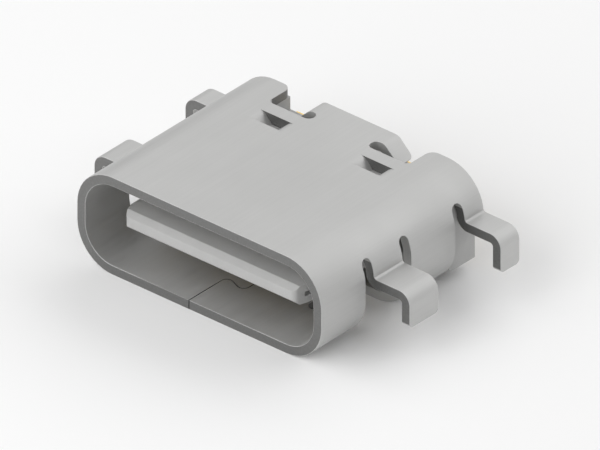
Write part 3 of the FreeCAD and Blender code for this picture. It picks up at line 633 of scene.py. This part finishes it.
class SOCKET_OT_form_contacts(bpy.types.Operator):
    """Forms the sixteen plated contacts, each as a strip of its own"""
    bl_idname = "socket.form_contacts"
    bl_label = "Form the contacts"

    def execute(self, context):
        settings = context.scene.socket_contacts
        gold = gold_plating("gold_on_nickel", settings.gold)
        tree = contact_tree(gold)
        keys = {item.name: item.identifier for item in tree.interface.items_tree if item.in_out == "INPUT"}
        for node, (row, place, tail) in CONTACTS.items():
            low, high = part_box(node)
            blade_height = (high.z if row > 0 else low.z) - row * settings.thickness / 2
            values = {
                "Front": low.y,
                "End": high.y,
                "Width": settings.width,
                "Tail Width": settings.tail_width,
                "Thickness": settings.thickness,
                "Tip": settings.tip,
                "Place": place * settings.pitch,
                "Tail Place": tail * settings.tail_pitch,
                "Fan Start": FAN_START,
                "Fan End": FAN_END,
                "Step Start": STEP_START,
                "Step End": STEP_END,
                "Blade Height": blade_height,
                "Tail Height": settings.thickness / 2,
            }
            piece = new_object("plated_" + node, bpy.data.meshes.new("plated_" + node))
            strip = piece.modifiers.new("strip", "NODES")
            strip.node_group = tree
            for name, number in values.items():
                strip[keys[name]] = number
            finished(piece)
            self.mark_edges(piece.data)
            piece.data.materials.clear()
            piece.data.materials.append(gold)
            round_edges(piece, settings.edge)
            hand_over(piece, [node])
        return {"FINISHED"}

    def mark_edges(self, mesh):
        """Gives the strip's sharp edges their bevel weight."""
        form = bmesh.new()
        form.from_mesh(mesh)
        weigh_edges(form, lambda edge: False)
        form.to_mesh(mesh)
        form.free()


class SOCKET_OT_set_stage(bpy.types.Operator):
    """Sets the pale floor, the soft lamps and the camera at the drawing's viewing angle"""
    bl_idname = "socket.set_stage"
    bl_label = "Set the stage"

    def execute(self, context):
        settings = context.scene.socket_stage
        scene = context.scene
        scene.view_settings.view_transform = "Standard"
        middle = Vector(VIEW_MIDDLE)
        self.add_floor(settings, cad_box[0][2])
        self.add_world(scene)
        for name, (direction, distance, width, height, brightness) in LAMPS.items():
            self.add_lamp(name, middle, Vector(direction), distance, width, height, brightness)
        scene.camera = self.add_camera(settings, middle)
        return {"FINISHED"}

    def add_floor(self, settings, height):
        """A sheet of matt card under the socket."""
        signs = ((-1, -1), (1, -1), (1, 1), (-1, 1))
        corners = [(x * FLOOR_HALF, y * FLOOR_HALF, height) for x, y in signs]
        mesh = bpy.data.meshes.new("floor")
        mesh.from_pydata(corners, [], [(0, 1, 2, 3)])
        material, tree, shader = new_material("matt_pale_card")
        set_inputs(tree, shader, {"Base Color": linear(settings.floor), "Roughness": FLOOR_ROUGHNESS})
        mesh.materials.append(material)
        new_object("floor", mesh)

    def add_world(self, scene):
        """Even light from all round."""
        world = bpy.data.worlds.new("studio")
        world.use_nodes = True
        scene.world = world
        set_inputs(world.node_tree, world.node_tree.nodes["Background"], {
            "Color": linear(WORLD_COLOUR), "Strength": WORLD_STRENGTH})

    def add_camera(self, settings, middle):
        """A camera without perspective that looks at the middle, as the drawing does."""
        away = Vector((
            math.sin(settings.azimuth) * math.cos(settings.elevation),
            -math.cos(settings.azimuth) * math.cos(settings.elevation),
            math.sin(settings.elevation)))
        data = bpy.data.cameras.new("camera")
        data.type = "ORTHO"
        data.ortho_scale = settings.view_width
        data.clip_start = VIEW_NEAR
        data.clip_end = VIEW_FAR
        camera = new_object("camera", data)
        camera.location = middle + away * VIEW_DISTANCE
        camera.rotation_euler = away.to_track_quat("Z", "Y").to_euler()
        return camera

    def add_lamp(self, name, middle, direction, distance, width, height, brightness):
        """A soft box that faces the object, given by the brightness of its face."""
        data = bpy.data.lights.new(name, "AREA")
        data.shape = "RECTANGLE"
        data.size = width
        data.size_y = height
        data.energy = brightness * math.pi * width * height
        lamp = new_object(name, data)
        lamp.location = middle + direction.normalized() * distance
        lamp.rotation_euler = direction.to_track_quat("Z", "Y").to_euler()


class SOCKET_PT_panel(bpy.types.Panel):
    """Lists the steps that dress the socket, with their settings"""
    bl_idname = "SOCKET_PT_panel"
    bl_label = "Board socket"
    bl_space_type = "VIEW_3D"
    bl_region_type = "UI"
    bl_category = "Socket"

    def draw(self, context):
        for operator, group in STEPS:
            box = self.layout.box()
            box.operator(operator.bl_idname)
            settings = getattr(context.scene, group)
            for name in settings.bl_rna.properties.keys():
                if name not in ("rna_type", "name"):
                    box.prop(settings, name)


GROUPS = {
    "socket_shell": ShellSettings,
    "socket_mouldings": MouldingSettings,
    "socket_contacts": ContactSettings,
    "socket_stage": StageSettings,
}
STEPS = (
    (SOCKET_OT_dress_shell, "socket_shell"),
    (SOCKET_OT_dress_mouldings, "socket_mouldings"),
    (SOCKET_OT_dress_plates, "socket_shell"),
    (SOCKET_OT_form_contacts, "socket_contacts"),
    (SOCKET_OT_set_stage, "socket_stage"),
)
CLASSES = (*GROUPS.values(), *(operator for operator, _ in STEPS), SOCKET_PT_panel)


def register():
    for item in CLASSES:
        bpy.utils.register_class(item)
    for name, group in GROUPS.items():
        setattr(bpy.types.Scene, name, PointerProperty(type=group))


def unregister():
    for name in GROUPS:
        delattr(bpy.types.Scene, name)
    for item in reversed(CLASSES):
        bpy.utils.unregister_class(item)


def main():
    register()
    bpy.ops.socket.dress_shell()
    bpy.ops.socket.dress_mouldings()
    bpy.ops.socket.dress_plates()
    bpy.ops.socket.form_contacts()
    bpy.ops.socket.set_stage()
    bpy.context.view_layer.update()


if __name__ == "__main__":
    main()
